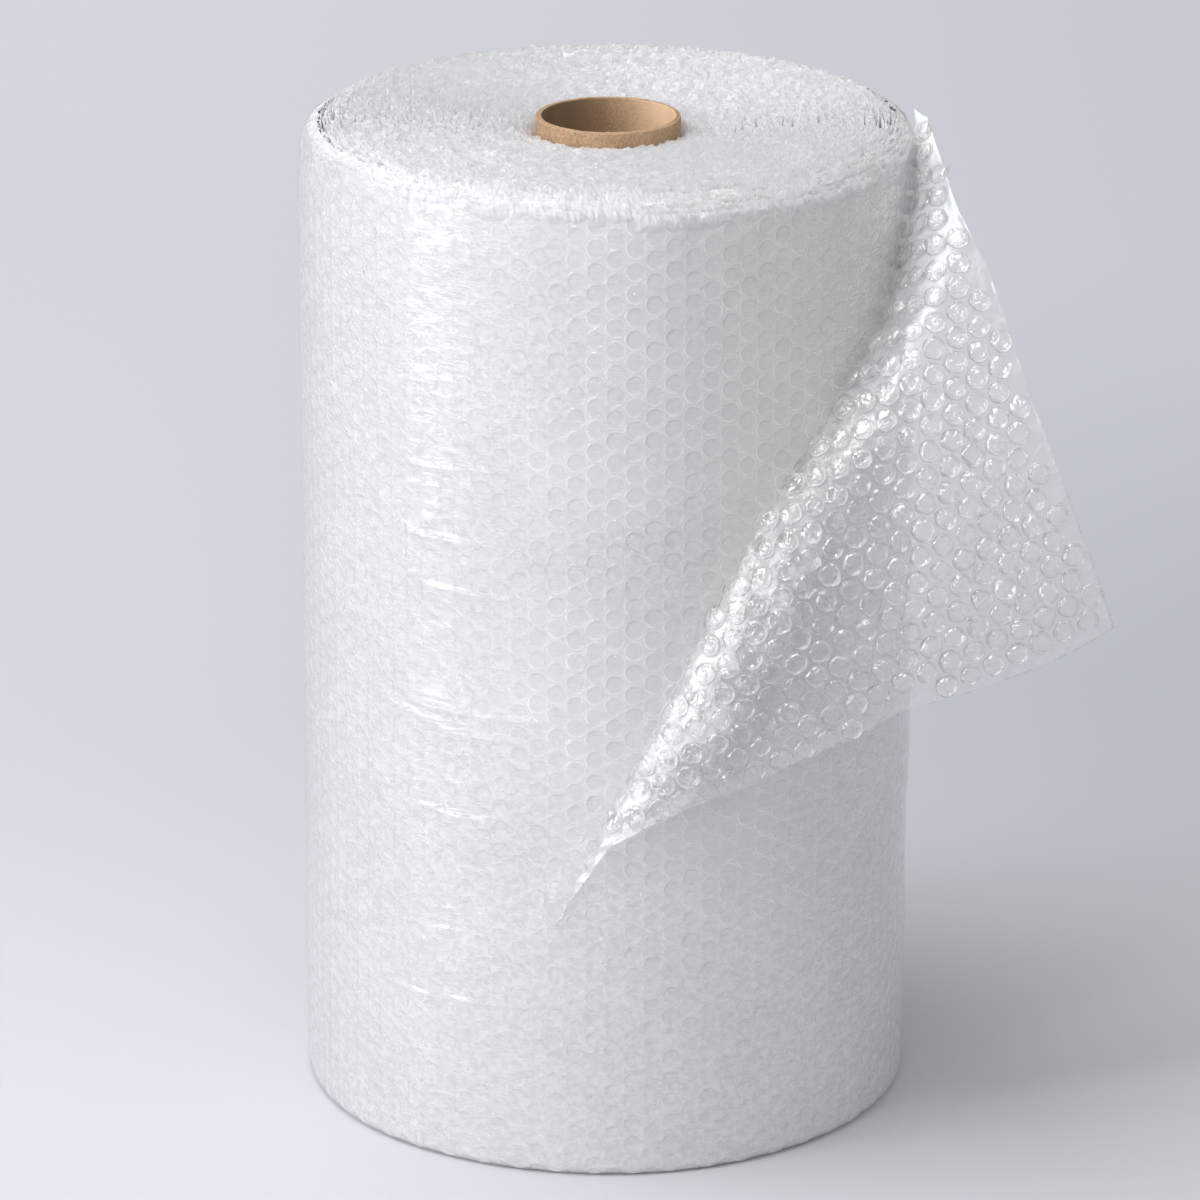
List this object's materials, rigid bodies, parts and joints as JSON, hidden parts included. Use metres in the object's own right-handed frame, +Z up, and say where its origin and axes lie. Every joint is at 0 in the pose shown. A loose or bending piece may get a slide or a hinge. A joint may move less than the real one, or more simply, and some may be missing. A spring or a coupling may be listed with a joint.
{
  "type": "bubble wrap roll",
  "caption": "Upright roll of clear bubble cushioning film on a cardboard core, with its top corner folded back in a bubbled flap.",
  "frame": {"origin": "on the roll's axis, at the bottom end of the core, level with the floor that the roll stands on", "axes": "+Z up along the core, -Y towards the front, where the folded corner lies, +X towards the flap's free tip"},
  "size_m": [0.392, 0.3234, 0.5],
  "materials": {
    "film": "clear low-density polyethylene film, many layers deep, soft gloss",
    "kraft_board": "spiral-wound kraft paperboard, matt"
  },
  "bodies": {
    "root": {"bubble_wrap": "film", "cardboard_core": "kraft_board"}
  },
  "joints": []
}
